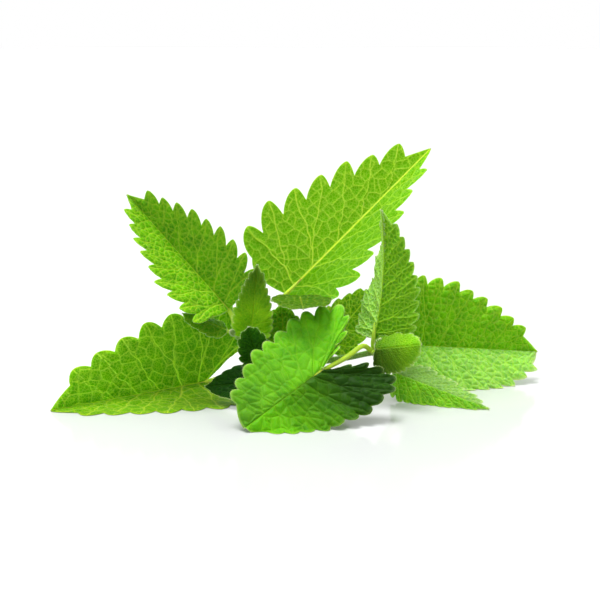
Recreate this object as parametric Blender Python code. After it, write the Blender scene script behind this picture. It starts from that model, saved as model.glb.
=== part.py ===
"""A cut sprig of mint lying on a flat surface.

A square main stem lies at the back and rises to a top node. It carries two side shoots, one to the
left and one to the right, and each shoot ends in a small bud. Fifteen toothed leaves grow from the
stem and the shoots. Every leaf is a thin folded blade joined to its own stalk.

Axes: X to the right, Y away from the front of the sprig, Z up. Lengths below are in millimetres.
"""
import bpy
import bmesh
import numpy as np
from collections import namedtuple

MM = 0.001
OFFSET = (-0.95, -10.4, 0.0)      # moves the middle of the sprig's box onto the origin, mm
BLADE = 0.5                      # thickness of a large leaf blade, mm
THIN_BLADE = 0.4                 # thickness of a small leaf blade, mm
SAMPLES = (3, 3, 4)              # points for each tooth, before the first tooth, midrib to margin
FEW_SAMPLES = (2, 2, 3)          # the same for a small leaf
RIB_LEAN = 2.2                   # power that draws the start of the side ribs towards the leaf base
OUTWARD = 0.15                   # how far a tooth leans from its rib towards the margin's normal
LAST = 0.1                       # part of the margin, next to the tip, that bears no teeth
STALK_SIDES = 6
STEM_SIDES = 8                   # sides of a stem or a bud: a square with cut corners, or round
LEAF_STALK = 0.75                # half of the width of a large leaf's stalk, mm
SMALL_STALK = 0.55               # the same for a small leaf, mm
MERGE = 0.01                     # points of a blade closer than this become one, mm
STEM_HALF = 1.25                 # half of the width of the square stem, mm
SHOOT_HALF = 0.95                # half of the width of a side shoot, mm

GREEN = (0.10, 0.28, 0.012)
LIGHT = (0.20, 0.42, 0.02)
DARK = (0.02, 0.12, 0.006)
STEM = (0.16, 0.26, 0.03)

# A leaf. base and tip are the ends of the midrib and facing is the side that the upper face looks to.
# left and right are the outlines of the halves as (lobe, shoulder, reach, flank) in leaf lengths: the
# two handles of a cubic curve from the base, (-lobe, shoulder) and (reach, flank), to the tip.
# fold is how far each half is raised about the midrib at the base and at the tip, in degrees.
# curl raises a half further towards its margin, bow bends the midrib sideways, also in degrees.
Leaf = namedtuple("Leaf", "name base tip facing left right teeth depth fold_left fold_right "
                          "curl bow apex first thickness colour stalk")


def leaf(name, base, tip, facing, left, right, teeth, depth, fold_left, fold_right, stalk, curl=(0, 0),
         bow=0, apex=0.74, first=0.14, thickness=BLADE, colour=GREEN):
    """One leaf with the usual values filled in; stalk is a path from the leaf base to the stem."""
    return Leaf(name, base, tip, facing, left, right, teeth, depth, fold_left, fold_right,
                curl, bow, apex, first, thickness, colour, stalk)


LEAVES = (
    leaf("leaf_top", (-4, 3, 32), (39.5, 12, 75), (0.05, 1.0, -0.2), (0.0, 0.45, 0.5, 0.27),
         (0.2, 0.48, 0.5, 0.28), 7, 0.11, (60, 60), (8, 8), apex=0.7, first=0.2,
         stalk=((-6, 3.2, 30), (-6, 5.5, 28.5))),
    leaf("leaf_top_front", (0, 0.5, 31.5), (1, -18, 31.5), (0, 0.1, 1), (0.2, 0.65, 1.0, 0.6),
         (0.2, 0.65, 1.0, 0.6), 6, 0.02, (3, 3), (3, 3), colour=DARK, thickness=THIN_BLADE,
         stalk=((-1.5, 2.5, 29.5), (-3, 5.0, 28))),
    leaf("leaf_upper_left", (-21.5, 0, 28), (-52, 8, 61.5), (0.05, -1.0, 0.25), (0.04, 0.42, 0.55, 0.33),
         (0.05, 0.42, 0.55, 0.32), 9, 0.092, (46, 46), (25, 25),
         stalk=((-20.4, 0, 26), (-19.3, -1, 22.6))),
    leaf("leaf_left", (-29.5, 14, 2), (-73.5, -15, 0.4), (0.4, -0.59, 0.7), (0.6, 0.75, 0.75, 0.33),
         (0.8, 0.7, 0.73, 0.36), 7, 0.065, (38, 38), (45, 45), apex=0.55, first=0.12,
         stalk=((-22, 17, 3.5), (-12, 16.5, 5.5), (-4.6, 14.5, 6.5))),
    leaf("leaf_upright", (22, -4, 20), (24, 0, 58), (0, 1, -0.1), (0.15, 0.44, 0.75, 0.29),
         (0.1, 0.5, 0.5, 0.22), 10, 0.065, (10, 10), (58, 88), bow=-21,
         stalk=((21.9, -3.8, 18.5), (22, -3, 17.2))),
    leaf("leaf_right", (32.5, 18, 13), (75.5, 28, 8.5), (0.05, -0.95, 0.31), (0.3, 0.8, 0.75, 0.3),
         (0.1, 0.6, 0.95, 0.34), 10, 0.06, (15, 15), (34, 34),
         stalk=((28, 9, 14), (23.6, -1, 15))),
    leaf("leaf_low_right", (28.5, 2, 8), (56, -13, 0.4), (0.2, -0.55, 0.8), (0.1, 0.32, 0.5, 0.18),
         (0.1, 0.38, 0.6, 0.2), 11, 0.06, (-5, -5), (-40, -40), colour=DARK,
         stalk=((25.5, 1, 11), (23.2, -2, 13.9))),
    leaf("leaf_front", (6.5, -22, 14.5), (-15.5, -37, 1.2), (-0.1, -0.95, 0.35), (1.3, 1.0, 0.85, 0.22),
         (1.8, 0.95, 0.95, 0.55), 9, 0.08, (0, 0), (-10, -10), curl=(15, -10), apex=0.6,
         stalk=((13, -16, 16.4), (18.4, -8, 18.3), (21, -4.3, 16.4))),
    leaf("leaf_young", (22.5, -9, 16.5), (35.5, -16, 18.5), (-0.1, -1, 0.2), (0.3, 0.6, 0.7, 0.4),
         (0.2, 0.52, 0.7, 0.35), 8, 0.03, (-20, -20), (-20, -20), colour=LIGHT, thickness=THIN_BLADE,
         stalk=((21.9, -7, 16.1), (21.9, -5, 15.8))),
    leaf("leaf_inner_left", (-14.6, -4.4, 20), (-12.5, -6, 42.5), (0, -1, 0), (0.06, 0.32, 0.5, 0.23),
         (0.06, 0.32, 0.5, 0.23), 10, 0.025, (15, 15), (15, 15), colour=LIGHT, thickness=THIN_BLADE,
         stalk=((-16.7, -3.3, 20.5),)),
    leaf("leaf_small_left", (-11.8, -9, 13.6), (-14.5, -10, 24.5), (0, -1, 0.2), (0.2, 0.5, 0.8, 0.35),
         (0.2, 0.5, 0.8, 0.35), 5, 0.08, (15, 15), (15, 15), colour=DARK, thickness=THIN_BLADE,
         stalk=((-11.5, -5, 13.4), (-12, 1.3, 14.2))),
    leaf("leaf_inner_back", (-4.5, 1, 11), (-5.5, 2.5, 29), (0, -1, 0.2), (0.1, 0.5, 0.7, 0.35),
         (0.1, 0.5, 0.7, 0.35), 6, 0.05, (15, 15), (15, 15), colour=DARK, thickness=THIN_BLADE,
         stalk=((-4.5, 4, 9.5), (-3.6, 9.5, 10.5))),
    leaf("leaf_behind", (8.5, 12, 14), (22.5, 16, 30.5), (0, -1, 0.2), (0.2, 0.5, 0.8, 0.35),
         (0.2, 0.5, 0.8, 0.35), 6, 0.06, (15, 15), (15, 15), colour=GREEN, thickness=THIN_BLADE,
         stalk=((4, 15.6, 11), (-0.7, 15.6, 8.2))),
    leaf("leaf_low_left", (-7.5, -12, 8.8), (-28.5, -4, 5), (0, -0.8, 0.6), (0.1, 0.3, 0.6, 0.25),
         (0.1, 0.28, 0.6, 0.22), 6, 0.02, (15, 15), (15, 15), colour=DARK, thickness=THIN_BLADE,
         stalk=((-4.5, -8, 9), (-5, 3, 7.5), (-6.5, 8, 9.2))),
    leaf("leaf_curl_left", (-22, -2.2, 22), (-35, -4, 27.5), (0, -0.5, 0.8), (0.1, 0.35, 0.8, 0.3),
         (0.1, 0.35, 0.8, 0.3), 5, 0.05, (-25, -25), (-25, -25), colour=GREEN, thickness=THIN_BLADE,
         stalk=((-20.2, -2, 21.1),)),
)

# A stem: name, path, and half of its width at each point of the path.
STEMS = (
    ("stem_main", ((3, 58, 1.25), (2.5, 44, 1.25), (1.5, 32, 1.25), (0, 23, 2.2), (-2.5, 14.5, 6.5),
                   (-3.4, 11, 12), (-4.6, 9.5, 19), (-4.7, 8, 25), (-4.6, 6.6, 28)),
     (STEM_HALF, STEM_HALF, STEM_HALF, STEM_HALF, 1.6, 1.1, 1.0, 1.0, 1.2)),
    ("shoot_left", ((-5.3, 12.3, 8.8), (-8, 8, 10), (-12, 3, 14), (-16, -0.5, 18), (-18.5, -2, 20.6)),
     (SHOOT_HALF, SHOOT_HALF, 0.85, 0.85, 1.2)),
    ("shoot_right", ((-0.6, 13.0, 8.6), (6, 8, 10), (14, 2, 12.5), (20, -2.2, 14.8), (22, -3.2, 15.8)),
     (SHOOT_HALF, SHOOT_HALF, 0.85, 0.85, 1.25)),
)

# A bud: name, centre, the way it points, length and half width.
BUDS = (
    ("bud_left", (-20.0, -5.2, 21.9), (-0.3, -0.8, 0.5), 3.2, 0.9),
    ("bud_right", (23.4, -6.1, 18.7), (0.3, -0.2, 0.9), 3.4, 0.9),
)


def clear():
    """Empty the scene."""
    for item in list(bpy.data.objects):
        bpy.data.objects.remove(item, do_unlink=True)


def material(name, colour, roughness=0.5):
    """A plain Principled material."""
    made = bpy.data.materials.new(name)
    made.use_nodes = True
    shader = made.node_tree.nodes["Principled BSDF"]
    shader.inputs["Base Color"].default_value = (*colour, 1.0)
    shader.inputs["Roughness"].default_value = roughness
    shader.inputs["Metallic"].default_value = 0.0
    return made


def unit(vector):
    """A vector scaled to length one."""
    vector = np.asarray(vector, float)
    return vector / np.linalg.norm(vector)


def outline(t, handles):
    """Half of a leaf's outline without teeth: points and unit tangents of the cubic curve."""
    lobe, shoulder, reach, flank = handles
    s = 1 - t
    x = -3 * s * s * t * lobe + 3 * s * t * t * reach + t ** 3
    y = 3 * s * s * t * shoulder + 3 * s * t * t * flank
    dx = -3 * s * s * lobe + 6 * s * t * (reach + lobe) + 3 * t * t * (1 - reach)
    dy = 3 * s * s * shoulder + 6 * s * t * (flank - shoulder) - 3 * t * t * flank
    speed = np.hypot(dx, dy) + 1e-9
    return np.stack([x, y], -1), np.stack([dx / speed, dy / speed], -1)


def margin_stations(teeth, first, per_tooth, before):
    """Fractions of the margin's length at which it is sampled, from the leaf's base to its tip."""
    pitch = (1 - LAST - first) / teeth
    toothed = first + pitch * np.arange(teeth * per_tooth) / per_tooth
    return np.concatenate([np.linspace(0, first, before, endpoint=False), toothed, [1 - LAST, 1.0]])


def half_blade(part, handles, per_tooth, before, across):
    """A flat half blade as a grid of points: one row for each margin station, midrib to margin."""
    dense = np.linspace(0, 1, 801)
    points, _ = outline(dense, handles)
    run = np.concatenate([[0], np.cumsum(np.hypot(*np.diff(points, axis=0).T))])
    stations = margin_stations(part.teeth, part.first, per_tooth, before)
    points, tangents = outline(np.interp(stations, run / run[-1], dense), handles)
    starts = np.stack([stations ** RIB_LEAN, 0 * stations], -1)
    count = (stations - part.first) / (1 - LAST - part.first) * part.teeth
    phase = count - np.floor(count + 1e-6)
    rise = np.where(phase < part.apex, phase / part.apex, (1 - phase) / (1 - part.apex))
    toothed = (count > -1e-6) & (count < part.teeth - 1e-6)
    height = np.where(toothed, np.sin(np.clip(rise, 0, 1) * np.pi / 2) ** 0.8, 0.0)
    height = height * part.depth * (1 - 0.35 * np.clip(count / part.teeth, 0, 1))
    ribs = points - starts
    along = ribs / (np.linalg.norm(ribs, axis=-1, keepdims=True) + 1e-9)
    outward = along + OUTWARD * np.stack([-tangents[:, 1], tangents[:, 0]], -1)
    outward = outward / (np.linalg.norm(outward, axis=-1, keepdims=True) + 1e-9)
    s = np.linspace(0, 1, across)
    flat = starts[:, None, :] + s[None, :, None] * ribs[:, None, :]
    reach = np.clip((s - 0.5) / 0.5, 0, 1) ** 2
    return flat + (height[:, None] * outward)[:, None, :] * reach[None, :, None]


def raised(flat, side, fold, curl, bow):
    """Fold, curl and bow a flat half: X along the midrib, Y to the leaf's left, Z to its upper face."""
    along = flat[..., 0]
    out = np.abs(flat[..., 1])
    begin = np.radians(fold[0] + (fold[1] - fold[0]) * np.clip(along, 0, 1))
    bend = np.radians(curl) / 0.45
    if abs(bend) < 1e-6:
        y = out * np.cos(begin)
        z = out * np.sin(begin)
    else:
        y = (np.sin(begin + bend * out) - np.sin(begin)) / bend
        z = (np.cos(begin) - np.cos(begin + bend * out)) / bend
    sweep = 0.5 * np.radians(bow) * np.clip(along, 0, 1) ** 2
    return np.stack([along, side * y + sweep, z], -1)


def half_in_place(part, side, per_tooth, before, across):
    """The middle surface of one half of a leaf in the sprig, in millimetres."""
    handles, fold, curl = ((part.left, part.fold_left, part.curl[0]) if side > 0
                           else (part.right, part.fold_right, part.curl[1]))
    local = raised(half_blade(part, handles, per_tooth, before, across), side, fold, curl, part.bow)
    end = np.array([1.0, 0.5 * np.radians(part.bow), 0.0])
    base, tip = np.array(part.base, float), np.array(part.tip, float)
    length = np.linalg.norm(tip - base) / np.linalg.norm(end)
    own_x = unit(end)
    own_y = unit(np.array([0, 1.0, 0]) - own_x * own_x[1])
    own = np.stack([own_x, own_y, np.cross(own_x, own_y)], 0)
    x = unit(tip - base)
    z = unit(np.asarray(part.facing, float) - x * np.dot(part.facing, x))
    turn = np.stack([x, np.cross(z, x), z], 1) @ own
    return base + length * local @ turn.T


def add_grid(bm, grid, flip):
    """Add a grid of points as faces; flip turns them over."""
    rows = [[bm.verts.new(point) for point in row] for row in grid]
    for upper, lower in zip(rows, rows[1:]):
        for a, b, c, d in zip(upper, upper[1:], lower[1:], lower):
            bm.faces.new((a, d, c, b) if flip else (a, b, c, d))


def link(bm, name, colour):
    """Turn a bmesh in millimetres into an object in metres, in the sprig's frame."""
    bmesh.ops.recalc_face_normals(bm, faces=bm.faces)
    bmesh.ops.translate(bm, verts=bm.verts, vec=OFFSET)
    bmesh.ops.scale(bm, verts=bm.verts, vec=(MM, MM, MM))
    mesh = bpy.data.meshes.new(name)
    bm.to_mesh(mesh)
    bm.free()
    mesh.shade_smooth()
    mesh.set_sharp_from_angle(angle=0.7)
    made = bpy.data.objects.new(name, mesh)
    bpy.context.scene.collection.objects.link(made)
    mesh.materials.append(material(name, colour))
    return made


def swept(path, halves, sides, square):
    """A closed rod along a path: its section is round, or square with cut corners."""
    path = np.array(path, float)
    tangents = np.gradient(path, axis=0)
    tangents /= np.linalg.norm(tangents, axis=1, keepdims=True)
    angles = 2 * np.pi * (np.arange(sides) + 0.5) / sides
    section = np.stack([np.cos(angles), np.sin(angles)], -1)
    if square:
        section = np.clip(section * 1.6, -1.0, 1.0)
    side = unit(np.cross(tangents[0], (0, 0, 1)))
    bm = bmesh.new()
    rings = []
    for centre, tangent, half in zip(path, tangents, halves):
        side = unit(side - tangent * np.dot(side, tangent))
        up = np.cross(side, tangent)
        ring = centre + half * (section[:, :1] * side + section[:, 1:] * up)
        rings.append([bm.verts.new(point) for point in ring])
    for upper, lower in zip(rings, rings[1:]):
        for k in range(sides):
            bm.faces.new((upper[k], upper[(k + 1) % sides], lower[(k + 1) % sides], lower[k]))
    bm.faces.new(rings[0])
    bm.faces.new(rings[-1])
    return bm


def build_leaf(part):
    """A leaf: its folded blade thickened, and its stalk joined on."""
    half = part.thickness / 2
    bm = bmesh.new()
    for side in (1, -1):
        grid = half_in_place(part, side, *(SAMPLES if part.thickness == BLADE else FEW_SAMPLES))
        grid[..., 2] = np.maximum(grid[..., 2], half)
        add_grid(bm, grid, side > 0)
    bmesh.ops.remove_doubles(bm, verts=bm.verts, dist=MERGE)
    bmesh.ops.dissolve_degenerate(bm, edges=bm.edges, dist=MERGE)
    bm.normal_update()
    for vert in bm.verts:
        vert.co += vert.normal * half
    bmesh.ops.solidify(bm, geom=list(bm.faces), thickness=part.thickness)
    for vert in bm.verts:
        vert.co.z = max(vert.co.z, 0.0)
    blade = link(bm, part.name, part.colour)
    base, tip = np.array(part.base, float), np.array(part.tip, float)
    path = [base + 0.05 * (tip - base), base - 0.02 * (tip - base)] + [np.array(p, float) for p in part.stalk]
    thick = SMALL_STALK if part.thickness < BLADE else LEAF_STALK
    halves = [0.6 * thick] + [thick] * (len(path) - 1)
    stalk = link(swept(path, halves, STALK_SIDES, False), part.name + ".stalk", part.colour)
    stalk.hide_render = True
    stalk.display_type = "WIRE"
    union = blade.modifiers.new("stalk", "BOOLEAN")
    union.operation = "UNION"
    union.solver = "EXACT"
    union.object = stalk
    return blade


def build_bud(name, centre, towards, length, half):
    """A closed bud: a small pointed egg."""
    centre, towards = np.array(centre, float), unit(towards)
    t = np.array([-0.5, -0.4, -0.15, 0.15, 0.4, 0.5])
    halves = half * np.array([0.25, 0.75, 1.0, 0.85, 0.4, 0.1])
    path = centre + t[:, None] * length * towards
    return link(swept(path, halves, STEM_SIDES, False), name, LIGHT)


def build():
    """Build the whole sprig."""
    clear()
    for part in LEAVES:
        build_leaf(part)
    for name, path, halves in STEMS:
        link(swept(path, halves, STEM_SIDES, True), name, STEM)
    for bud in BUDS:
        build_bud(*bud)


build()
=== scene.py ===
"""A cut sprig of mint lying on a white table.

Every leaf is a closed sheet about a third of a millimetre thick. Its shape is a function of two
parameters: the station along the margin and the way from the midrib to the margin. The same two
parameters carry the veins, so the relief, the colour and the teeth agree. Lengths are in
millimetres, in the drawing of the sprig, until seat() moves a piece into the frame.
"""
from collections import namedtuple

import bpy
import numpy as np
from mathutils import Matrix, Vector


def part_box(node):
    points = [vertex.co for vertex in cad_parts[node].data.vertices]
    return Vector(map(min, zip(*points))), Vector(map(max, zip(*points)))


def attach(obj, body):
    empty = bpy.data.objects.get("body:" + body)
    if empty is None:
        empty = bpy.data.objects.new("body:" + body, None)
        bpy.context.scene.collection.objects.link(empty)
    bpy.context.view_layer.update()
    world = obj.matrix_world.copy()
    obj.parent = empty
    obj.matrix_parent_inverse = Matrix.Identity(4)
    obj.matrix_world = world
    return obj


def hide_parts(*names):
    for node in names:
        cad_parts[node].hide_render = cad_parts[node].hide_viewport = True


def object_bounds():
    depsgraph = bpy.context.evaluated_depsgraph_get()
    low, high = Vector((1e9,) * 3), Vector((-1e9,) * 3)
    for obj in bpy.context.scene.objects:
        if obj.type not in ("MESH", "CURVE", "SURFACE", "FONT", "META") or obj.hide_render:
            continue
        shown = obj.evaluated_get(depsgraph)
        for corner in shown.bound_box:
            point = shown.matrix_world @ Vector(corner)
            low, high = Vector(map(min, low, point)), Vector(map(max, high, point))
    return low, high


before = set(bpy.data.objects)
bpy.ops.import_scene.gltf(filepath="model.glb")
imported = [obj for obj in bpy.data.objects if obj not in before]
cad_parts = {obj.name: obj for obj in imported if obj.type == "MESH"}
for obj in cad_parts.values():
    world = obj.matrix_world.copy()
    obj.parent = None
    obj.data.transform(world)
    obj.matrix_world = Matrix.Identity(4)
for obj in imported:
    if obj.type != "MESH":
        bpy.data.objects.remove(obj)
cad_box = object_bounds()

MM = 0.001

# Blades, in millimetres.
BLADE = 0.34                 # thickness of a blade between its veins
RIM = 0.16                   # thickness of a blade at its margin
FULL_BODY = 1.2              # distance from the margin at which a blade has its full thickness
THINNEST = 0.03              # a groove leaves at least this much of the upper half of a blade
FOLD_ROUND = 0.7             # radius of the fold along the midrib
SWELL = 1.6                  # distance over which a blade swells away from a rib
MARGIN_BAND = 0.35           # width of the thin clear band along a margin
RIBLESS = 0.4                # half width of the strip along the midrib in which the side ribs fade

# A vein's half width at the leaf base, its groove above and its ridge below, in millimetres.
Vein = namedtuple("Vein", "width groove ridge")
MIDRIB = Vein(0.32, 0.16, 0.5)
SIDE_RIB = Vein(0.19, 0.07, 0.16)
VEINLET = Vein(0.17, 0.02, 0.05)
VEIN_TAPER = 0.6             # how much thinner midrib and side ribs are at the leaf tip

# Teeth, ribs and bends.
LAST = 0.1                   # part of the margin, next to the tip, that bears no teeth
END = 0.003                  # part of the margin left out at the base and at the tip
TOOTH_LEAN = 0.6             # how far a tooth turns from its rib towards straight out
TOOTH_SHRINK = 0.35          # how much lower the last tooth is than the first
TOOTH_UNEVEN = 0.12          # how much a tooth's height differs from its neighbours'
TEETH_PER_WAVE = 3.3         # number of teeth in one slow wave of the margin
RIB_WANDER = 0.06            # how far a side rib leaves its line, in teeth
FORK = 0.38                  # where two side ribs part, as a share of the way to the margin
CURL_REACH = 0.45            # distance from the midrib, in leaf lengths, over which a half curls
FAR = 9.0                    # stands for the distance to a vein that isn't near

# Heights over the table, in millimetres.
ON_TABLE = 0.02              # the lowest points of a piece
RIM_ON_TABLE = 0.05          # the lowest points of a blade's rim
TOP_ON_TABLE = 0.12          # the lowest points of a blade's upper face
SETTLE = 0.2                 # how softly a blade turns to lie along the table

# Hairs, in millimetres.
CILIA = 0.45                 # length of a hair at a margin
DOWN = 0.5                   # length of a hair on a blade or a stem
HAIR_HALF = 0.022            # half of a hair's width at its root, twice the real one so that it shows
LOWEST_HAIR = 0.3            # nearer to the table than this there are no hairs
BARE_MARGIN = 0.3            # width of the margin that has no hairs on its faces
HAIR_STRIDE = 9              # a downy blade has a hair at one in this many points

# Patterns of the materials, in millimetres.
PATCH = 6.2                  # width of a lighter or darker patch of a blade
SPECK = 0.45                 # width of the fine mottling, which is groups of cells
AREOLE = 0.9                 # width of the smallest meshes of veins, about twice the real one, to show
STREAK = 1.1                 # width of a pale strand in a stem's skin
OTHER_FACE = 7.0             # how far off the lower face reads the patterns

# Rods: stems, stalks and buds.
STEM_SIDES = 32
STALK_SIDES = 14
BUD_SIDES = 20
END_RINGS = np.array([0.0, 0.55, 0.9])   # radii of the rings that close an end, in end radii
POLE = 0.01                  # radius of the smallest ring, mm
STALK_LOOK = {"vein": 0.85, "edge": 0.0, "under": 0.3, "tone": 0.0, "down": 0.1}

# The camera: where it aims from the middle of the CAD box's foot, mm, its rise and its distance, m.
CAMERA_AIM = (-0.95, -10.4, 30.6)
CAMERA_RISE = 11.0
CAMERA_AWAY = 0.5

# A leaf. base and tip are the ends of the midrib and facing is the side that the upper face looks to.
# left and right are the outlines of the halves as (lobe, shoulder, reach, flank) in leaf lengths: the
# two handles of a cubic curve from the base, (-lobe, shoulder) and (reach, flank), to the tip.
# teeth is the number of teeth on a half, and depth is the height of a tooth in leaf lengths. first is
# where along the margin they begin, and apex is where in a tooth its point lies, both from 0 to 1.
# fold_left and fold_right say how far a half is raised about the midrib, at the base and at the tip.
# curl raises a half further towards its margin, and bow bends the midrib sideways. All are in degrees.
# stalk is the path from the leaf base to the stem, and thick is half of the stalk's width.
# cell is the width of the meshes of the vein net and quilt the height of the cushions between veins.
# wave is the height of the margin's slow waves, and scallop that of the dome on each tooth.
# grid has the number of points along the blade and across one half. finish names the material.
# Painted shade and light for the left and right half make the tissue darker, down to -1, or lighter,
# up to 1, at the leaf's base and at its tip, where that part of the leaf lies in shade or in light. The
# value runs evenly between base and tip and is held at -1 or 1 where it goes beyond.
# down is how densely short hairs cover the left and right half, from 0 to 1. pale is how much the
# veins stand out in colour, and lean the power that draws the start of the side ribs to the base.
Leaf = namedtuple("Leaf", "name base tip facing left right teeth depth fold_left fold_right stalk finish "
                          "cell quilt curl bow apex first grid wave thick tone down pale lean scallop")


def leaf(name, base, tip, facing, left, right, teeth, depth, fold_left, fold_right, stalk, finish,
         cell=2.4, quilt=0.3, curl=(0, 0), bow=0, apex=0.74, first=0.14, grid=(300, 76), wave=0.35,
         thick=0.75, tone=((0, 0), (0, 0)), down=(0, 0), pale=1.0, lean=2.2, scallop=0.25):
    """One leaf with the usual values filled in."""
    return Leaf(name, base, tip, facing, left, right, teeth, depth, fold_left, fold_right, stalk, finish,
                cell, quilt, curl, bow, apex, first, grid, wave, thick, tone, down, pale, lean, scallop)


SMALL = {"grid": (170, 46), "thick": 0.55}
LEAVES = (
    leaf("leaf_top", (-4, 3, 32), (39.5, 12, 75), (0.05, 1.0, -0.2), (0.0, 0.45, 0.5, 0.27),
         (0.2, 0.48, 0.5, 0.28), 7, 0.11, (60, 60), (8, 8), ((-6, 3.2, 30), (-6, 5.5, 28.5)),
         "bright", cell=3.2, quilt=0.16, pale=0.85, apex=0.7, first=0.2, lean=2.6,
         tone=((0.4, 0.55), (-0.2, -0.12))),
    leaf("leaf_top_front", (0, 0.5, 31.5), (1, -18, 31.5), (0, 0.1, 1), (0.2, 0.65, 1.0, 0.6),
         (0.2, 0.65, 1.0, 0.6), 6, 0.02, (3, 3), (3, 3), ((-1.5, 2.5, 29.5), (-3, 5.0, 28)),
         "mature", cell=2.2, **SMALL, tone=((-0.7, -0.7), (-0.7, -0.7))),
    leaf("leaf_upper_left", (-21.5, 0, 28), (-52, 8, 61.5), (0.05, -1.0, 0.25), (0.04, 0.42, 0.55, 0.33),
         (0.05, 0.42, 0.55, 0.32), 9, 0.092, (46, 46), (25, 25), ((-20.4, 0, 26), (-19.3, -1, 22.6)),
         "mature", cell=1.9, quilt=0.26, pale=0.7, tone=((0.4, 0.2), (0.0, -0.1))),
    leaf("leaf_left", (-29.5, 14, 2), (-73.5, -15, 0.4), (0.4, -0.59, 0.7), (0.6, 0.75, 0.75, 0.33),
         (0.95, 0.66, 0.73, 0.42), 9, 0.085, (38, 38), (45, 45),
         ((-22, 17, 3.5), (-12, 16.5, 5.5), (-4.6, 14.5, 6.5)),
         "bright", cell=3.6, quilt=0.3, apex=0.55, first=0.12, lean=3.2, tone=((-0.5, -0.3), (0.0, 0.2))),
    leaf("leaf_upright", (22, -4, 20), (24, 0, 58), (0, 1, -0.1), (0.15, 0.44, 0.75, 0.29),
         (0.1, 0.5, 0.5, 0.22), 10, 0.065, (10, 10), (58, 88), ((21.9, -3.8, 18.5), (22, -3, 17.2)),
         "mature", cell=1.5, quilt=0.6, grid=(260, 66), pale=0.45, wave=0.6, scallop=0.5, bow=-21,
         tone=((0.25, 0.1), (0.5, 0.5)), down=(0.3, 0.9)),
    leaf("leaf_right", (32.5, 18, 13), (75.5, 28, 8.5), (0.05, -0.95, 0.31), (0.3, 0.8, 0.75, 0.3),
         (0.1, 0.6, 0.95, 0.34), 10, 0.075, (15, 15), (30, 38), ((28, 9, 14), (23.6, -1, 15)),
         "bright", cell=2.2, quilt=0.6, curl=(-14, -22), pale=0.55, scallop=0.5, wave=0.6,
         tone=((0.0, 0.1), (0.6, 0.6)), down=(0, 0.9)),
    leaf("leaf_low_right", (28.5, 2, 8), (56, -13, 0.4), (0.2, -0.55, 0.8), (0.1, 0.32, 0.5, 0.18),
         (0.05, 0.36, 0.6, 0.2), 11, 0.06, (-5, -5), (-40, -40), ((25.5, 1, 11), (23.2, -2, 13.9)),
         "mature", cell=1.5, quilt=0.3, grid=(220, 60), pale=0.4,
         tone=((-0.1, 0.3), (0.7, 0.3)), down=(0.9, 0.35)),
    leaf("leaf_front", (6.5, -22, 14.5), (-15.5, -37, 1.2), (-0.1, -0.95, 0.35), (1.35, 0.9, 0.85, 0.66),
         (1.7, 0.6, 0.92, 0.86), 13, 0.09, (0, 0), (-10, -10),
         ((13, -16, 16.4), (18.4, -8, 18.3), (21, -4.3, 16.4)),
         "mature", cell=3.6, quilt=0.5, curl=(15, -10), pale=0.14, scallop=1.1, apex=0.6, first=0.05,
         wave=0.8, tone=((-1.6, 0.4), (0.8, -0.1)), down=(0.15, 0.3)),
    leaf("leaf_young", (22.5, -9, 17.6), (35.5, -15, 20.4), (-0.1, -0.8, 0.5), (0.3, 0.7, 0.8, 0.5),
         (0.4, 0.8, 0.85, 0.6), 11, 0.06, (-25, -25), (-25, -25), ((21.9, -7, 16.1), (21.9, -5, 15.8)),
         "young", cell=0.8, quilt=0.3, curl=(-25, -25), pale=0.4, **SMALL,
         tone=((-0.9, 0.3), (-1.3, 0.0)), down=(0.25, 0.25)),
    leaf("leaf_inner_left", (-14.6, -4.4, 20), (-12.5, -6, 42.5), (0, -1, 0), (0.08, 0.37, 0.5, 0.27),
         (0.08, 0.37, 0.5, 0.27), 9, 0.05, (15, 15), (15, 15), ((-16.7, -3.3, 20.5),),
         "young", cell=1.0, quilt=0.12, pale=0.35, **SMALL,
         tone=((1.3, -0.7), (1.3, -0.7)), down=(0.12, 0.12)),
    leaf("leaf_small_left", (-12.2, -9, 13.6), (-15.2, -10, 24.5), (0, -1, 0.2), (0.2, 0.6, 0.8, 0.45),
         (0.2, 0.6, 0.8, 0.45), 5, 0.1, (15, 15), (15, 15), ((-11.5, -5, 13.4), (-12, 1.3, 14.2)),
         "shaded", cell=1.4, quilt=0.2, pale=0.6, **SMALL, tone=((-0.6, -0.4), (-0.6, -0.4))),
    leaf("leaf_inner_back", (-4.5, 1, 11), (-5.5, 2.5, 29), (0, -1, 0.2), (0.1, 0.65, 0.7, 0.45),
         (0.1, 0.65, 0.7, 0.45), 7, 0.05, (15, 15), (15, 15), ((-4.5, 4, 9.5), (-3.6, 9.5, 10.5)),
         "mature", cell=1.6, quilt=0.2, pale=0.5, **SMALL, tone=((-0.2, 0.0), (-0.2, 0.0))),
    leaf("leaf_behind", (8.5, 12, 14), (22.5, 16, 30.5), (0, -1, 0.2), (0.2, 0.5, 0.8, 0.35),
         (0.2, 0.5, 0.8, 0.35), 6, 0.06, (15, 15), (15, 15), ((4, 15.6, 11), (-0.7, 15.6, 8.2)),
         "bright", cell=1.6, quilt=0.24, **SMALL),
    leaf("leaf_low_left", (-7.5, -12, 8.8), (-28.5, -4, 5), (0, -0.8, 0.6), (0.1, 0.42, 0.6, 0.34),
         (0.1, 0.42, 0.6, 0.3), 6, 0.02, (15, 15), (15, 15), ((-4.5, -8, 9), (-5, 3, 7.5), (-6.5, 8, 9.2)),
         "shaded", cell=1.8, quilt=0.2, **SMALL, tone=((-1.1, -0.9), (-1.1, -0.9))),
    leaf("leaf_curl_left", (-22, -2.2, 22), (-35, -4, 27.5), (0, -0.5, 0.8), (0.1, 0.35, 0.8, 0.3),
         (0.1, 0.35, 0.8, 0.3), 5, 0.05, (-25, -25), (-25, -25), ((-20.2, -2, 21.1),),
         "mature", cell=1.6, quilt=0.24, pale=0.4, **SMALL, tone=((-0.3, -0.3), (-0.3, -0.3))),
)

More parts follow.
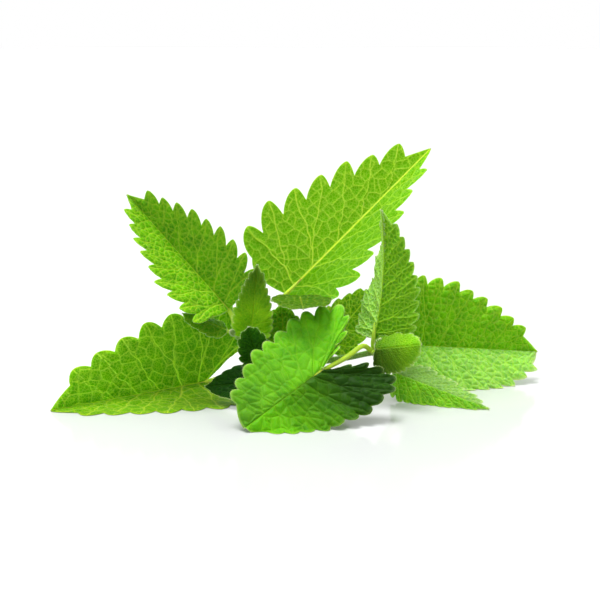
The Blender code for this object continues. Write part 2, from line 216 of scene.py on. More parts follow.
# A stem: name, path, and half of its width at each point of the path.
STEMS = (
    ("stem_main", ((3, 58, 1.25), (2.5, 44, 1.25), (1.5, 32, 1.25), (0, 23, 2.2), (-2.5, 14.5, 6.5),
                   (-3.4, 11, 12), (-4.6, 9.5, 19), (-4.7, 8, 25), (-4.6, 6.6, 28)),
     (1.25, 1.25, 1.25, 1.25, 1.6, 1.1, 1.0, 1.0, 1.2)),
    ("shoot_left", ((-5.3, 12.3, 8.8), (-8, 8, 10), (-12, 3, 14), (-16, -0.5, 18), (-18.5, -2, 20.6)),
     (0.95, 0.95, 0.85, 0.85, 1.2)),
    ("shoot_right", ((-0.6, 13.0, 8.6), (6, 8, 10), (14, 2, 12.5), (20, -2.2, 14.8), (22, -3.2, 15.8)),
     (0.95, 0.95, 0.85, 0.85, 1.25)),
)

# A bud: name, centre, the way it points, length and half width.
BUDS = (
    ("bud_left", (-20.0, -5.2, 21.9), (-0.3, -0.8, 0.5), 3.2, 0.9),
    ("bud_right", (23.4, -6.1, 18.7), (0.3, -0.2, 0.9), 3.4, 0.9),
)


# ---------------------------------------------------------------- numbers

def unit(vectors):
    """Vectors scaled to length one."""
    vectors = np.asarray(vectors, float)
    return vectors / np.maximum(np.linalg.norm(vectors, axis=-1, keepdims=True), 1e-12)


def bell(distance, width):
    """One on a line, falling to zero within about twice its width, as a Gaussian does."""
    return np.exp(-(distance / width) ** 2)


def smooth_path(points, per_span=14):
    """A Catmull-Rom curve through the points: each span is a cubic that leaves a point along the
    line between its two neighbours. Extra columns, such as a width, are smoothed in the same way."""
    points = np.asarray(points, float)
    ends = np.vstack([2 * points[0] - points[1], points, 2 * points[-1] - points[-2]])
    t = np.linspace(0, 1, per_span, endpoint=False)[None, :, None]
    a, b, c, d = (ends[k:k + len(points) - 1, None, :] for k in range(4))
    curve = b + 0.5 * t * (c - a + t * (2 * a - 5 * b + 4 * c - d + t * (3 * (b - c) + d - a)))
    return np.vstack([curve.reshape(-1, points.shape[1]), points[-1:]])


def drawing_zero():
    """Where the drawing's zero lies in the frame, worked out from the main stem's CAD box."""
    low, high = (np.array(corner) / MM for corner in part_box("stem_main"))
    path = np.array(STEMS[0][1], float)
    drawn = (path[:, :2].min(0) + path[:, :2].max(0)) / 2
    half = STEMS[0][2]
    drawn[0] = (path[:, 0].max() + half[0] + (path[:, 0] - half).min()) / 2
    return np.array([*((low + high)[:2] / 2 - drawn), 0.0])


# ---------------------------------------------------------------- meshes

def seat(points):
    """Points of the drawing in millimetres, as points of the frame in metres."""
    return (points + ZERO) * MM


def piece(name, points, quads, caps=(), **fields):
    """A mesh object from an array of points and an array of quads; caps are closing polygons, and
    each field becomes a point attribute, a number or a vector."""
    mesh = bpy.data.meshes.new(name)
    mesh.from_pydata(seat(points).tolist(), [], quads.tolist() + [list(cap) for cap in caps])
    for label, values in fields.items():
        flat = np.asarray(values, np.float32)
        if flat.ndim == 2:
            mesh.attributes.new(label, "FLOAT_VECTOR", "POINT").data.foreach_set("vector", flat.ravel())
        else:
            mesh.attributes.new(label, "FLOAT", "POINT").data.foreach_set("value", flat)
    mesh.shade_smooth()
    made = bpy.data.objects.new(name, mesh)
    bpy.context.scene.collection.objects.link(made)
    return made


def grid_quads(rows, columns, wrap=False):
    """Corner numbers of the faces of a grid of points; wrap joins the last column to the first."""
    numbers = np.arange(rows * columns).reshape(rows, columns)
    if wrap:
        numbers = np.concatenate([numbers, numbers[:, :1]], 1)
    corners = [numbers[:-1, :-1], numbers[:-1, 1:], numbers[1:, 1:], numbers[1:, :-1]]
    return np.stack(corners, -1).reshape(-1, 4)


def edge_loop(rows, columns):
    """Numbers of the points round the edge of a grid, in the order of its faces' corners."""
    numbers = np.arange(rows * columns).reshape(rows, columns)
    return np.concatenate([numbers[0, :-1], numbers[:-1, -1], numbers[-1, :0:-1], numbers[:0:-1, 0]])


# ---------------------------------------------------------------- leaves

def outline(t, handles):
    """Half of a leaf's outline without teeth: points and unit tangents of a cubic curve from the
    base (0, 0) by the handles (-lobe, shoulder) and (reach, flank) to the tip (1, 0)."""
    lobe, shoulder, reach, flank = handles
    s = 1 - t
    x = -3 * s * s * t * lobe + 3 * s * t * t * reach + t ** 3
    y = 3 * s * s * t * shoulder + 3 * s * t * t * flank
    dx = -3 * s * s * lobe + 6 * s * t * (reach + lobe) + 3 * t * t * (1 - reach)
    dy = 3 * s * s * shoulder + 6 * s * t * (flank - shoulder) - 3 * t * t * flank
    return np.stack([x, y], -1), unit(np.stack([dx, dy], -1))


def half_blade(part, handles, stations, across):
    """A flat half blade in leaf lengths, and the count of teeth up to each station. The stations are
    even along the margin. Each side rib runs straight to the margin and starts on the midrib at the
    station to the power lean. A tooth rises as a sine bow to its apex and drops to the notch, and it
    leans from its rib towards straight out."""
    dense = np.linspace(0, 1, 801)
    points, _ = outline(dense, handles)
    run = np.concatenate([[0], np.cumsum(np.hypot(*np.diff(points, axis=0).T))])
    points, tangents = outline(np.interp(stations, run / run[-1], dense), handles)
    starts = np.stack([stations ** part.lean, 0 * stations], -1)
    count = (stations - part.first) / (1 - LAST - part.first) * part.teeth
    number = np.floor(count)
    phase = count - number
    rise = np.where(phase < part.apex, phase / part.apex, (1 - phase) / (1 - part.apex))
    toothed = (count > 0) & (count < part.teeth)
    height = np.where(toothed, np.sin(np.clip(rise, 0, 1) * np.pi / 2) ** 0.8, 0.0)
    height = height * part.depth * (1 - TOOTH_SHRINK * np.clip(count / part.teeth, 0, 1))
    height = height * (1 + TOOTH_UNEVEN * np.sin(2.4 * number + 3 * len(part.name)))
    ribs = points - starts
    outward = unit(unit(ribs) + TOOTH_LEAN * np.stack([-tangents[:, 1], tangents[:, 0]], -1))
    flat = starts[:, None, :] + across[None, :, None] * ribs[:, None, :]
    reach = np.clip((across - 0.5) / 0.5, 0, 1) ** 2
    return flat + (height[:, None] * outward)[:, None, :] * reach[None, :, None], count


def net(points, cell, seed):
    """Distance to the nearest wall of an irregular net. Each square of a lattice, one cell wide,
    holds one centre, placed by the digits of a large sine, and a wall stands midway between two
    neighbouring centres."""
    spot = points / cell
    home = np.floor(spot)

    def centre(step):
        corner = home + step
        mixed = corner[..., 0] * 127.1 + corner[..., 1] * 311.7 + seed
        digits = np.stack([np.sin(mixed) * 43758.5453, np.sin(mixed + 74.7) * 24634.6345], -1)
        return corner + 0.5 + 0.42 * (2 * (digits - np.floor(digits)) - 1) - spot

    steps = [np.array([i, j]) for i in (-1, 0, 1) for j in (-1, 0, 1)]
    offsets = np.stack([centre(step) for step in steps])
    order = np.argmin(np.linalg.norm(offsets, axis=-1), axis=0)
    nearest = np.take_along_axis(offsets, order[None, ..., None], 0)
    gap = offsets - nearest
    width = np.linalg.norm(gap, axis=-1)
    wall = (0.5 * (offsets + nearest) * gap).sum(-1) / np.maximum(width, 1e-9)
    return cell * np.where(width < 1e-6, FAR, wall).min(0)


def side_ribs(part, side, stations, across, flat):
    """Distance in millimetres to the nearest side rib. Each tooth has a rib. In the basal half two
    ribs share a trunk, and they fork on the way to the margin. Two sines make a rib wander."""
    step = np.gradient(flat, stations, axis=0)
    way = unit(flat[:, -1] - flat[:, 0])[:, None, :]
    spacing = np.abs(step[..., 0] * way[..., 1] - step[..., 1] * way[..., 0])
    pitch = (1 - LAST - part.first) / part.teeth
    ends = part.first + pitch * (np.arange(part.teeth) + part.apex)
    trunks = ends.copy()
    for low in range(0, part.teeth // 2 + 1, 2):
        trunks[low:low + 2] = ends[low:low + 2].mean()
    fork = np.clip((across - FORK) / 0.5, 0, 1) ** 0.8
    nearest = np.full(flat.shape[:2], FAR)
    for number, (trunk, end) in enumerate(zip(trunks, ends)):
        waves = np.sin(11 * across + 4 * number + side) + 0.6 * np.sin(27 * across + number)
        wander = RIB_WANDER * pitch * waves
        line = trunk + (end - trunk) * fork + wander * across * (1 - across) * 4
        nearest = np.minimum(nearest, np.abs(stations[:, None] - line[None, :]) * spacing)
    return nearest


def raised(flat, side, fold, curl, bow, soften):
    """Fold, curl and bow a flat half: X along the midrib, Y to the leaf's left, Z to its upper face.
    A cross section is an arc that starts at the fold angle and turns by the curl. Next to the midrib it
    is rounded by a hyperbola of the radius soften, and the midrib itself is bowed as a parabola."""
    along = flat[..., 0]
    out = np.abs(flat[..., 1])
    begin = np.radians(fold[0] + (fold[1] - fold[0]) * np.clip(along, 0, 1))
    bend = np.radians(curl) / CURL_REACH
    bend = bend if abs(bend) > 1e-4 else 1e-4
    y = (np.sin(begin + bend * out) - np.sin(begin)) / bend
    z = (np.cos(begin) - np.cos(begin + bend * out)) / bend
    z = z * (np.sqrt(out ** 2 + soften ** 2) - soften) / np.maximum(out, 1e-6)
    sweep = 0.5 * np.radians(bow) * np.clip(along, 0, 1) ** 2
    return np.stack([along, side * y + sweep, z], -1)


def leaf_frame(part):
    """The leaf's length, and the matrix that turns its own axes into the drawing's."""
    end = np.array([1.0, 0.5 * np.radians(part.bow), 0.0])
    base, tip = np.array(part.base, float), np.array(part.tip, float)
    own_x = unit(end)
    own_y = unit(np.array([0, 1.0, 0]) - own_x * own_x[1])
    own = np.stack([own_x, own_y, np.cross(own_x, own_y)], 0)
    x = unit(tip - base)
    z = unit(np.asarray(part.facing, float) - x * np.dot(part.facing, x))
    return np.linalg.norm(tip - base) / np.linalg.norm(end), np.stack([x, np.cross(z, x), z], 1) @ own


def half_leaf(part, side, length):
    """One half of a leaf: its middle surface in leaf lengths, and its fields. midrib, ribs, walls and
    margin are distances in millimetres, and x and y the place on the flat blade. bump is a sine dome
    on each tooth, and ruffle a slow sine wave that grows towards the margin."""
    rows, columns = part.grid
    half = 0 if side > 0 else 1
    handles = (part.left, part.right)[half]
    fold = (part.fold_left, part.fold_right)[half]
    at_base, at_tip = part.tone[half]
    stations = np.linspace(END, 1 - END, rows)
    across = np.linspace(0, 1, columns)
    flat, count = half_blade(part, handles, stations, across)
    plane = flat * length
    own = plane * np.array([1.0, side])
    width = np.linalg.norm(plane[:, -1] - plane[:, 0], axis=-1)
    phase = np.clip(count, 0, part.teeth) % 1.0
    waves = np.sin(2 * np.pi * count / TEETH_PER_WAVE + side + len(part.name))
    fields = {
        "midrib": np.abs(plane[..., 1]),
        "ribs": side_ribs(part, side, stations, across, plane),
        "walls": net(own, part.cell, 5.0 * len(part.name) + part.teeth),
        "margin": (1 - across)[None, :] * width[:, None],
        "bump": np.sin(np.pi * phase)[:, None] * np.clip((across - 0.35) / 0.65, 0, 1)[None, :] ** 1.3,
        "ruffle": across[None, :] ** 2 * waves[:, None],
        "taper": 1 - VEIN_TAPER * np.clip(flat[..., 0], 0, 1),
        # painted shade and light: the tissue is made darker or lighter where this part of the leaf lies in
        # shade or in light
        "tone": at_base + (at_tip - at_base) * np.clip((flat[..., 0] + 0.4) / 1.2, 0, 1),
        "down": np.full(flat.shape[:2], float(part.down[half])),
        "x": own[..., 0],
        "y": own[..., 1]}
    return raised(flat, side, fold, part.curl[half], part.bow, FOLD_ROUND / length), fields


def whole_leaf(part, length):
    """Both halves as one grid, from the left margin over the midrib to the right margin."""
    left, left_fields = half_leaf(part, 1, length)
    right, right_fields = half_leaf(part, -1, length)

    def joined(a, b):
        return np.concatenate([a[:, ::-1], b[:, 1:]], 1)

    return joined(left, right), {key: joined(left_fields[key], right_fields[key]) for key in left_fields}


def vein_marks(f):
    """Where the midrib, the side ribs and the net are: bells across each of them, from 0 to 1."""
    main = bell(f["midrib"], MIDRIB.width * f["taper"])
    ribs = bell(f["ribs"], SIDE_RIB.width * f["taper"]) * (1 - bell(f["midrib"], RIBLESS))
    return main, ribs, bell(f["walls"], VEINLET.width)


def cushions(part, f, inner):
    """Height of the blade between its veins: a parabola in each mesh of the net, on a swell between the
    ribs that nears its height exponentially. inner is 0 at the margin, where both are low."""
    vein = np.minimum(f["midrib"], np.minimum(f["ribs"], f["walls"]))
    dome = 1 - (1 - np.clip(vein / (0.42 * part.cell), 0, 1)) ** 2
    swell = 1 - np.exp(-np.minimum(f["midrib"], f["ribs"]) / SWELL)
    return part.quilt * dome * (0.35 + 0.65 * inner) + 0.9 * part.quilt * swell * inner


def closed_sheet(middle, normal, above, below):
    """A closed sheet about a middle surface: its upper face above it, its lower face below it, and a
    rim half its own thickness out from the margin. Returns the three sets of points, the quads, the
    numbers of the middle points at the margin, and the way out there."""
    upper = middle + normal * above[..., None]
    lower = middle - normal * below[..., None]
    upper[..., 2] = np.maximum(upper[..., 2], TOP_ON_TABLE)
    lower[..., 2] = np.maximum(lower[..., 2], ON_TABLE)
    rows, columns = middle.shape[:2]
    size = rows * columns
    loop = edge_loop(rows, columns)
    margin = middle.reshape(-1, 3)[loop]
    along = np.roll(margin, -1, 0) - np.roll(margin, 1, 0)
    outward = unit(np.cross(along, normal.reshape(-1, 3)[loop]))
    rim = margin + 0.5 * RIM * outward
    rim[:, 2] = np.maximum(rim[:, 2], RIM_ON_TABLE)
    top = grid_quads(rows, columns)
    ring = np.arange(len(loop)) + 2 * size
    after, ring_after = np.roll(loop, -1), np.roll(ring, -1)
    quads = np.concatenate([
        top, top[:, ::-1] + size,
        np.stack([after, loop, ring, ring_after], -1),
        np.stack([ring_after, ring, loop + size, after + size], -1)])
    return (upper.reshape(-1, 3), lower.reshape(-1, 3), rim), quads, loop, outward


def sheet_fields(part, f, marks, size, loop):
    """The fields that the material reads, at the upper face, the lower face and the rim. Each point of
    them takes its values from one point of the middle surface. A side rib and the net show less than
    the midrib, and hairs veil all of them; frost is how much the hairs hide the tissue."""
    main, ribs, walls = marks
    source = np.concatenate([np.arange(size), np.arange(size), loop])
    edge = bell(f["margin"], MARGIN_BAND)
    strength = part.pale * (1 - 0.6 * f["down"]) * np.maximum(main, np.maximum(0.85 * ribs, 0.5 * walls))
    frost = f["down"] * (0.45 * f["down"] + 0.8 * edge)
    fields = {"vein": strength, "edge": edge, "tone": f["tone"], "down": frost}
    fields = {key: values.ravel()[source] for key, values in fields.items()}
    fields["edge"][2 * size:] = 1.0
    fields["under"] = np.repeat([0.0, 1.0, 0.5], [size, size, len(loop)])
    blade = np.stack([f["x"], f["y"], 0 * f["x"]], -1).reshape(-1, 3)[source]
    blade[size:2 * size, 2] = OTHER_FACE
    return fields, blade


def leaf_hairs(part, f, normal, faces, outward):
    """Where a leaf's hairs stand, which way and how long: two at each point of the rim, one towards the
    tip and one back, and some on both faces of a downy half."""
    upper, lower, rim = faces
    hairy = (f["down"].ravel() > 0.5) & (f["margin"].ravel() > BARE_MARGIN)
    picked = np.flatnonzero(hairy)[::HAIR_STRIDE]
    up = normal.reshape(-1, 3)[picked]
    tipward = unit(np.array(part.tip, float) - np.array(part.base, float))
    return [(rim, unit(outward + 0.4 * tipward), CILIA), (rim, unit(outward - 0.2 * tipward), CILIA),
            (upper[picked], up + 0.8 * tipward, DOWN), (lower[picked], -up + 0.8 * tipward, DOWN)]


def build_leaf(part):
    """A leaf: a closed sheet with relief, and its stalk. Between veins the blade swells into
    cushions; over a vein the upper face has a groove and the lower face a ridge."""
    length, turn = leaf_frame(part)
    local, f = whole_leaf(part, length)
    middle = np.array(part.base, float) + length * local @ turn.T
    normal = unit(np.cross(np.gradient(middle, axis=1), np.gradient(middle, axis=0)))
    inner = np.clip(f["margin"] / FULL_BODY, 0, 1)
    lift = cushions(part, f, inner) + part.wave * f["ruffle"] + part.scallop * f["bump"]
    middle = middle + normal * lift[..., None]
    over = middle[..., 2] - BLADE / 2
    middle[..., 2] = BLADE / 2 + 0.5 * (over + np.sqrt(over ** 2 + SETTLE ** 2))

    main, ribs, walls = vein_marks(f)
    half = RIM / 2 + (BLADE - RIM) / 2 * inner
    groove = MIDRIB.groove * main + SIDE_RIB.groove * ribs + VEINLET.groove * walls
    ridge = MIDRIB.ridge * main * f["taper"] + SIDE_RIB.ridge * ribs + VEINLET.ridge * walls
    faces, quads, loop, outward = closed_sheet(
        middle, normal, half - np.minimum(groove, half - THINNEST), half + ridge)
    fields, blade = sheet_fields(part, f, (main, ribs, walls), len(faces[0]), loop)

    stalk_points, stalk_quads, stalk_caps = stalk_rod(part, turn)
    more = np.ones(len(stalk_points))
    fields = {key: np.concatenate([values, STALK_LOOK[key] * more]) for key, values in fields.items()}
    count = len(blade)
    made = piece(part.name + "_blade", np.concatenate([*faces, stalk_points]),
                 np.concatenate([quads, stalk_quads + count]),
                 [[corner + count for corner in cap] for cap in stalk_caps],
                 blade=np.concatenate([blade, stalk_points]),
                 pale=np.full(count + len(more), part.pale), **fields)
    made.data.materials.append(FINISHES[part.finish])
    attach(made, "root")
    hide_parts(part.name)
    build_down(part.name + "_down", leaf_hairs(part, f, normal, faces, outward), count)


def scatter(count, seed):
    """Three even numbers from -1 to 1 for each of count things: the digits of a large sine."""
    waves = np.sin(np.arange(count)[:, None] * np.array([12.9898, 78.233, 37.719]) + seed) * 43758.5453
    return 2 * (waves - np.floor(waves)) - 1


def build_down(name, faces, seed):
    """Short hairs. Each is a three-sided spike that leaves its root along its way, which scatters a
    little; its length varies from half to all of the length given."""
    roots = np.concatenate([root for root, _, _ in faces])
    ways = np.concatenate([way for _, way, _ in faces])
    lengths = np.concatenate([np.full(len(root), length) for root, _, length in faces])
    loose = scatter(len(roots), seed)
    clear = roots[:, 2] > LOWEST_HAIR
    roots, ways, lengths, loose = (each[clear] for each in (roots, ways, lengths, loose))
    roots = roots - 0.02 * unit(ways)
    ways = unit(unit(ways) + 0.45 * loose)
    lengths = lengths * (0.75 + 0.25 * loose[:, 0])
    side = unit(np.cross(ways, (0.3, 0.5, 0.8)))
    other = np.cross(ways, side)
    turns = 2 * np.pi * np.arange(3) / 3
    foot = roots[:, None] + HAIR_HALF * (np.cos(turns)[None, :, None] * side[:, None]
                                         + np.sin(turns)[None, :, None] * other[:, None])
    points = np.concatenate([foot, (roots + lengths[:, None] * ways)[:, None]], 1).reshape(-1, 3)
    points[:, 2] = np.maximum(points[:, 2], ON_TABLE)
    spike = np.array([(0, 1, 3), (1, 2, 3), (2, 0, 3), (0, 2, 1)])
    triangles = (4 * np.arange(len(roots))[:, None, None] + spike[None]).reshape(-1, 3)
    made = piece(name, points, triangles)
    made.data.materials.append(FINISHES["down"])
    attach(made, "root")


# ---------------------------------------------------------------- stems, stalks and buds

def rod(path, halves, sides, square=False):
    """A closed rod along a smooth path: points, quads and end caps. A square rod's section is a
    superellipse of power five, which is a square with round corners, with a shallow groove in each
    side; a round one's is a circle. Each end closes by rings that lie in one plane."""
    curve = smooth_path(np.column_stack([path, halves]))
    centres, radii = curve[:, :3], curve[:, 3]
    tangents = unit(np.gradient(centres, axis=0))
    reference = np.eye(3)[np.argmin(np.abs(tangents).max(0))]
    side = unit(np.cross(tangents, reference))
    up = np.cross(side, tangents)
    angles = 2 * np.pi * np.arange(sides) / sides
    reach = np.ones(sides)
    if square:
        reach = (np.abs(np.cos(angles)) ** 5 + np.abs(np.sin(angles)) ** 5) ** -0.2
        reach = reach - 0.07 * np.cos(2 * angles) ** 8
    rings = len(END_RINGS)
    radii = np.concatenate([radii[:1] * END_RINGS, radii[1:-1], radii[-1:] * END_RINGS[::-1]])
    radii = np.maximum(radii, POLE)
    centres, side, up = (
        np.concatenate([each[:1].repeat(rings, 0), each[1:-1], each[-1:].repeat(rings, 0)])
        for each in (centres, side, up))
    ring = (np.cos(angles)[None, :, None] * side[:, None, :] + np.sin(angles)[None, :, None] * up[:, None, :])
    points = centres[:, None, :] + (radii[:, None] * reach[None, :])[..., None] * ring
    rows = len(centres)
    last = (rows - 1) * sides
    return (points.reshape(-1, 3), grid_quads(rows, sides, wrap=True)[:, ::-1],
            (list(range(sides)), list(range(last + sides - 1, last - 1, -1))))


def stalk_rod(part, turn):
    """A leaf's stalk: a round rod from inside its stem to under the first part of the midrib."""
    base, tip = np.array(part.base, float), np.array(part.tip, float)
    below = -0.35 * turn[:, 2]
    stalk = [np.array(point, float) for point in part.stalk]
    path = [base + 0.12 * (tip - base) + 0.4 * below, base + 0.03 * (tip - base) + below] + stalk
    path.append(0.45 * stalk[-1] + 0.55 * nearest_on_stems(stalk[-1]))
    halves = [0.25 * part.thick, 0.75 * part.thick] + [part.thick] * (len(path) - 3) + [1.15 * part.thick]
    return rod(path, halves, STALK_SIDES)


def nearest_on_stems(point):
    """The point of the stems' paths that is nearest to a point."""
    curves = np.concatenate([smooth_path(path) for _, path, _ in STEMS])
    return curves[np.argmin(np.linalg.norm(curves - point, axis=1))]


def build_stem(name, path, halves):
    """A square stem with round corners. The two inner rings of its first end are the cut face."""
    points, quads, caps = rod(path, halves, STEM_SIDES, square=True)
    points[:, 2] = np.maximum(points[:, 2], ON_TABLE)
    cut = np.zeros(len(points))
    cut[:2 * STEM_SIDES] = 1.0
    made = piece(name + "_rod", points, quads, caps, cut=cut)
    made.data.materials.append(FINISHES["stem"])
    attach(made, "root")
    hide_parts(name)
    axis = smooth_path(path)
    near = axis[np.argmin(np.linalg.norm(points[:, None] - axis[None], axis=2), axis=1)]
    build_down(name + "_down", [(points, points - near, DOWN)], 7)


def build_bud(name, centre, towards, length, half):
    """A bud: a pointed egg."""
    t = np.array([-0.5, -0.4, -0.15, 0.15, 0.4, 0.5])
    path = np.array(centre, float) + t[:, None] * length * unit(towards)
    points, quads, caps = rod(path, half * np.array([0.25, 0.75, 1.0, 0.85, 0.4, 0.1]), BUD_SIDES)
    made = piece(name + "_scales", points, quads, caps)
    made.data.materials.append(FINISHES["stem"])
    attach(made, "root")
    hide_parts(name)
    build_down(name + "_down", [(points, points - np.array(centre, float), DOWN)], 3)


# ---------------------------------------------------------------- materials

def colour(hex_text):
    """An sRGB hex colour as linear red, green, blue and alpha."""
    parts = np.array([int(hex_text[k:k + 2], 16) for k in (1, 3, 5)]) / 255
    linear = np.where(parts <= 0.04045, parts / 12.92, ((parts + 0.055) / 1.055) ** 2.4)
    return (*linear.tolist(), 1.0)


def node(tree, kind, settings=None, **inputs):
    """Add a node, set its properties, and fill or link its inputs. An input goes by its name, with _
    for a space, or by i and its number; a text value is a hex colour."""
    made = tree.nodes.new(kind)
    for key, value in (settings or {}).items():
        setattr(made, key, value)
    for key, value in inputs.items():
        place = int(key[1:]) if key[1:].isdigit() else key.replace("_", " ")
        if isinstance(value, bpy.types.NodeSocket):
            tree.links.new(value, made.inputs[place])
        else:
            made.inputs[place].default_value = colour(value) if isinstance(value, str) else value
    return made


def blank(name):
    """A new node material: its tree and its Principled shader."""
    made = bpy.data.materials.new(name)
    made.use_nodes = True
    return made, made.node_tree, made.node_tree.nodes["Principled BSDF"]


def leaf_tissue(name, upper, deep, under, vein, edge, rough, sheen, glow):
    """Fresh leaf tissue: thin, wet cells under a waxy skin. The eye sees a soft satin face, light that
    glows through the blade, a pale vein net and a thin clear margin. Painted shade turns the tissue a
    deep green where the leaf's painted shading field is low, and painted light lightens it where that
    field is high; where it is downy the hairs lay a pale film over it. upper and deep mottle the upper
    face, under is the lower face. glow is the weight of the light that passes through."""
    made, tree, shader = blank(name)
    read = {key: node(tree, "ShaderNodeAttribute", {"attribute_name": key})
            for key in ("blade", "under", "vein", "pale", "edge", "tone", "down")}
    amount = {key: value.outputs["Fac"] for key, value in read.items()}
    blade = read["blade"].outputs["Vector"]
    patches = node(tree, "ShaderNodeTexNoise", None, Vector=blade, Scale=1 / PATCH, Detail=3.0)
    specks = node(tree, "ShaderNodeTexNoise", None, Vector=blade, Scale=1 / SPECK, Detail=2.0)
    areoles = node(tree, "ShaderNodeTexVoronoi", {"feature": "DISTANCE_TO_EDGE"}, Vector=blade,
                   Scale=1 / AREOLE)
    veinlets = node(tree, "ShaderNodeMapRange", None, Value=areoles.outputs["Distance"], From_Min=0.0,
                    From_Max=0.12, To_Min=0.35, To_Max=0.0)
    mottled = node(tree, "ShaderNodeMapRange", None, Value=patches.outputs["Fac"], From_Min=0.35,
                   From_Max=0.65)
    speckled = node(tree, "ShaderNodeMath", {"operation": "MULTIPLY"}, i0=specks.outputs["Fac"], i1=0.25)
    fine_net = node(tree, "ShaderNodeMath", {"operation": "MULTIPLY"}, i0=veinlets.outputs["Result"],
                    i1=amount["pale"])
    thin = node(tree, "ShaderNodeMath", {"operation": "MULTIPLY"}, i0=amount["edge"], i1=0.4)
    # Painted shade and light: below zero the field darkens the tissue towards a deep green, above zero it
    # lightens it.
    shadow = node(tree, "ShaderNodeMapRange", None, Value=amount["tone"], From_Min=0.0, From_Max=-1.0,
                  To_Min=0.0, To_Max=0.92)
    light = node(tree, "ShaderNodeMapRange", None, Value=amount["tone"], From_Min=0.0, From_Max=1.0,
                 To_Min=1.0, To_Max=1.75)

    tissue = node(tree, "ShaderNodeMix", {"data_type": "RGBA"}, i0=mottled.outputs["Result"], i6=deep,
                  i7=upper).outputs[2]
    for share, over in ((amount["under"], under), (speckled.outputs[0], deep), (fine_net.outputs[0], vein),
                        (amount["vein"], vein), (thin.outputs[0], edge),
                        # the deep green of the painted shade
                        (shadow.outputs["Result"], "#0a3400")):
        tissue = node(tree, "ShaderNodeMix", {"data_type": "RGBA"}, i0=share, i6=tissue,
                      i7=over).outputs[2]
    # painted light: the tissue's value is raised up to 1.75 times
    tissue = node(tree, "ShaderNodeHueSaturation", None, Value=light.outputs["Result"], Color=tissue)
    tissue = node(tree, "ShaderNodeMix", {"data_type": "RGBA"}, i0=amount["down"],
                  i6=tissue.outputs["Color"], i7="#b8d488")
    height = node(tree, "ShaderNodeMath", {"operation": "ADD"}, i0=areoles.outputs["Distance"],
                  i1=specks.outputs["Fac"])
    bump = node(tree, "ShaderNodeBump", None, Strength=0.35, Distance=0.00007, Height=height.outputs[0])
    tree.links.new(tissue.outputs[2], shader.inputs["Base Color"])
    tree.links.new(bump.outputs["Normal"], shader.inputs["Normal"])
    shader.inputs["Roughness"].default_value = rough
    shader.inputs["Specular IOR Level"].default_value = 0.06
    shader.inputs["Sheen Weight"].default_value = sheen
    shader.inputs["Sheen Roughness"].default_value = 0.35
    shader.inputs["Sheen Tint"].default_value = colour("#dfeccf")
    shader.inputs["Subsurface Weight"].default_value = glow
    shader.inputs["Subsurface Radius"].default_value = (0.75, 1.0, 0.06)
    shader.inputs["Subsurface Scale"].default_value = 0.0005
    return made


def hair():
    """Plant hairs: clear dry cells. They give a margin a thin pale line against the light. The tint
    changes every few millimetres."""
    made, tree, shader = blank("leaf hairs")
    place = node(tree, "ShaderNodeTexCoord").outputs["Object"]
    patches = node(tree, "ShaderNodeTexNoise", None, Vector=place, Scale=1 / (PATCH * MM))
    tint = node(tree, "ShaderNodeMix", {"data_type": "RGBA"}, i0=patches.outputs["Fac"], i6="#cfe39a",
                i7="#eaf3cf")
    tree.links.new(tint.outputs[2], shader.inputs["Base Color"])
    shader.inputs["Roughness"].default_value = 0.4
    shader.inputs["Specular IOR Level"].default_value = 0.3
    return made


def stem_tissue():
    """Fresh herb stem: a smooth green skin over pale strands. The eye sees fine pale streaks, and pale
    pith inside a green rim where the stem is cut."""
    made, tree, shader = blank("fresh herb stem")
    place = node(tree, "ShaderNodeTexCoord").outputs["Object"]
    cut = node(tree, "ShaderNodeAttribute", {"attribute_name": "cut"}).outputs["Fac"]
    streaks = node(tree, "ShaderNodeTexNoise", None, Vector=place, Scale=1 / (STREAK * MM), Detail=2.0)
    skin = node(tree, "ShaderNodeMix", {"data_type": "RGBA"}, i0=streaks.outputs["Fac"], i6="#4f8a1a",
                i7="#98bd4e")
    skin = node(tree, "ShaderNodeMix", {"data_type": "RGBA"}, i0=cut, i6=skin.outputs[2], i7="#dfe6ae")
    bump = node(tree, "ShaderNodeBump", None, Strength=0.3, Distance=0.0001, Height=streaks.outputs["Fac"])
    tree.links.new(skin.outputs[2], shader.inputs["Base Color"])
    tree.links.new(bump.outputs["Normal"], shader.inputs["Normal"])
    shader.inputs["Roughness"].default_value = 0.45
    shader.inputs["Specular IOR Level"].default_value = 0.2
    shader.inputs["Sheen Weight"].default_value = 0.2
    shader.inputs["Subsurface Weight"].default_value = 0.3
    shader.inputs["Subsurface Radius"].default_value = (0.5, 1.0, 0.15)
    shader.inputs["Subsurface Scale"].default_value = 0.001
    return made


def table_top():
    """White lacquered board: a smooth white with a faint clear reflection of what lies on it."""
    made, tree, shader = blank("white lacquered board")
    shader.inputs["Base Color"].default_value = colour("#d8dad9")
    shader.inputs["Roughness"].default_value = 0.12
    shader.inputs["Specular IOR Level"].default_value = 0.25
    return made


# ---------------------------------------------------------------- stage

def aimed(name, data, place, way):
    """A camera or a lamp at a place, turned to look along a way."""
    made = bpy.data.objects.new(name, data)
    made.location = place
    made.rotation_mode = "QUATERNION"
    made.rotation_quaternion = way.to_track_quat("-Z", "Y")
    bpy.context.scene.collection.objects.link(made)
    return made


def build_table():
    """A round white table under the sprig."""
    bpy.ops.mesh.primitive_circle_add(vertices=96, radius=2.5, fill_type="NGON", location=(0, 0, 0))
    table = bpy.context.object
    table.name = "table"
    table.data.materials.append(table_top())


def build_camera():
    """A long lens in front of the sprig, a little above it."""
    low, high = cad_box
    aim = Vector(((low.x + high.x) / 2, (low.y + high.y) / 2, 0)) + Vector(CAMERA_AIM) * MM
    rise = np.radians(CAMERA_RISE)
    lens = bpy.data.cameras.new("camera")
    lens.lens = 100.0
    lens.clip_start = 0.01
    place = aim + Vector((0, -np.cos(rise), np.sin(rise))) * CAMERA_AWAY
    bpy.context.scene.camera = aimed("camera", lens, place, aim - place)


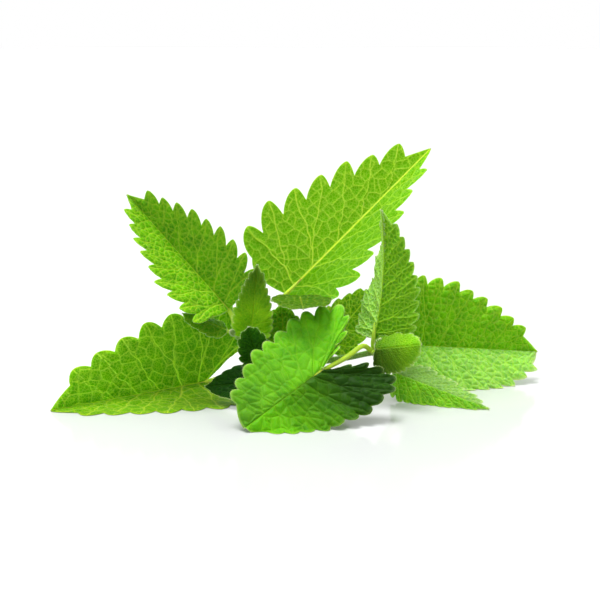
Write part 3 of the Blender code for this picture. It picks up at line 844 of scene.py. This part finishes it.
def build_lights():
    """Soft light: a wide sky above, a lamp behind that shines through the blades, a fill in front."""
    sky = bpy.data.lights.new("sky light", "SUN")
    sky.energy = 2.6
    sky.angle = np.radians(30)
    aimed("sky light", sky, (0, 0, 0), Vector((0.15, 0.0, -1.0)))
    for name, place, size, watts in (("back light", (-0.2, 0.45, 0.3), 0.5, 0.4),
                                     ("front fill", (-0.4, -0.6, 0.5), 0.6, 1.0)):
        lamp = bpy.data.lights.new(name, "AREA")
        lamp.size = size
        lamp.energy = watts
        aimed(name, lamp, place, Vector((0, 0, 0.03)) - Vector(place))


def build_world():
    """A white room, full white behind the sprig and dimmer on the camera's side."""
    world = bpy.data.worlds.new("white studio")
    bpy.context.scene.world = world
    world.use_nodes = True
    tree = world.node_tree
    way = node(tree, "ShaderNodeTexCoord").outputs["Generated"]
    parts = node(tree, "ShaderNodeSeparateXYZ", None, Vector=way)
    glow = node(tree, "ShaderNodeMapRange", None, Value=parts.outputs["Y"], From_Min=-0.8, From_Max=0.6,
                To_Min=0.6, To_Max=1.0)
    tree.links.new(glow.outputs["Result"], tree.nodes["Background"].inputs["Strength"])
    tree.nodes["Background"].inputs["Color"].default_value = colour("#ffffff")
    bpy.context.scene.view_settings.view_transform = "Standard"


ZERO = drawing_zero()
FINISHES = {
    # The first finish is the mature leaf with painted sunlight, lighter and yellower, and the third is the
    # mature leaf with painted shade, darker; they go on leaves that lie in light or in shade.
    "bright": leaf_tissue("mint leaf, full sun", "#6cb400", "#549e00", "#70b800", "#dcf450", "#b0d420",
                          0.45, 0.05, 0.85),
    "mature": leaf_tissue("mint leaf, mature", "#60a800", "#448c00", "#66a800", "#c2e040", "#98c428",
                          0.45, 0.06, 0.75),
    "shaded": leaf_tissue("mint leaf, inner", "#1e6000", "#104800", "#286a00", "#509408", "#66a41c",
                          0.45, 0.05, 0.5),
    "young": leaf_tissue("mint leaf, young", "#78b404", "#549a00", "#8ab80c", "#b4d828", "#b0d450",
                         0.5, 0.05, 0.7),
    "stem": stem_tissue(),
    "down": hair(),
}
for one in LEAVES:
    build_leaf(one)
for one in STEMS:
    build_stem(*one)
for one in BUDS:
    build_bud(*one)
build_table()
build_camera()
build_lights()
build_world()
